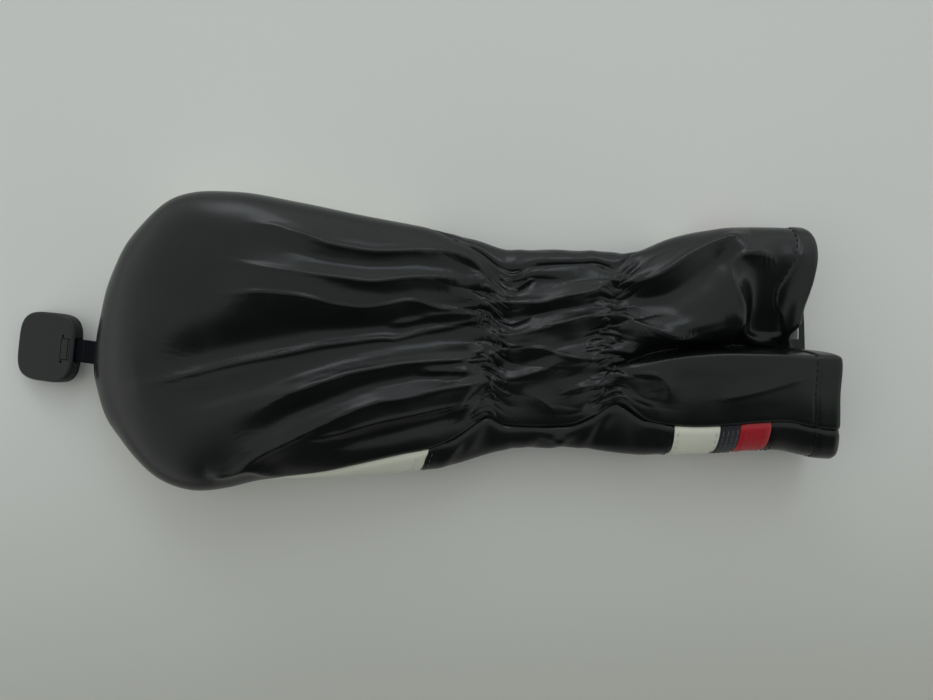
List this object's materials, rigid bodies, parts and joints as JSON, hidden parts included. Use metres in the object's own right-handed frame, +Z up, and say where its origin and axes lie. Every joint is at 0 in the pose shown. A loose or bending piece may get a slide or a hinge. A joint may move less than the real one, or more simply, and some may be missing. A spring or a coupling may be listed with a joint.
{
  "type": "golf club driver head cover",
  "caption": "Soft padded sock for a driver head, with a gathered neck, striped cuff and a number tag on a short strap.",
  "frame": {"origin": "middle of the bounding box's underside, on the surface that the cover lies on", "axes": "+X from the tag end to the open mouth, +Z up out of the gathered back panel, +Y to the side of the upper cuff lobe"},
  "size_m": [0.376, 0.1336, 0.0449],
  "materials": {
    "black_leather": "glossy black PU leather, fine pebbled grain",
    "white_leather": "smooth off-white PU leather",
    "red_leather": "smooth red PU leather",
    "ribbed_trim": "black ribbed trim with grey stitching",
    "foam": "open-cell foam laminate",
    "fleece": "black fleece",
    "knit": "dark knit",
    "elastic": "flat woven elastic",
    "label": "blank white satin",
    "webbing": "black ribbed webbing",
    "tag_plastic": "satin black moulded plastic",
    "dial_plastic": "pale moulded plastic",
    "steel": "plain steel"
  },
  "bodies": {
    "cover": {"back_panel": "black_leather", "front_head_panel": "white_leather", "front_neck_panel": "black_leather", "front_white_band": "white_leather", "front_ribbed_band": "ribbed_trim", "front_red_band": "red_leather", "front_cuff_panel": "black_leather", "foam_pad_back": "foam", "foam_pad_front": "foam", "head_lining_back": "fleece", "head_lining_front": "fleece", "neck_lining_back": "knit", "neck_lining_front": "knit", "elastic_band_head": "elastic", "elastic_band_cuff": "elastic", "care_label": "label"},
    "strap": {"tag_strap": "webbing"},
    "tag": {"tag_housing": "tag_plastic", "tag_bezel": "tag_plastic", "strap_clip": "tag_plastic", "strap_pin": "steel", "dial_pivot": "steel"},
    "dial": {"number_dial": "dial_plastic"}
  },
  "joints": [
    {"name": "strap_flex", "type": "hinge", "parent": "cover", "child": "strap", "pos_m": [-0.1476, -0.0053, 0.016], "axis": [0.1045, 0.9945, 0], "range_deg": [-25, 85], "stiffness_Nm_per_rad": 0.03},
    {"name": "tag_pivot", "type": "hinge", "parent": "strap", "child": "tag", "pos_m": [-0.16106, -0.00388, 0.01053], "axis": [0.1045, 0.9945, 0], "range_deg": [-26, 14]},
    {"name": "dial_turn", "type": "hinge", "parent": "tag", "child": "dial", "pos_m": [-0.17524, -0.00239, 0.00655], "axis": [-0.2675, 0.0281, 0.9632], "continuous": true}
  ]
}
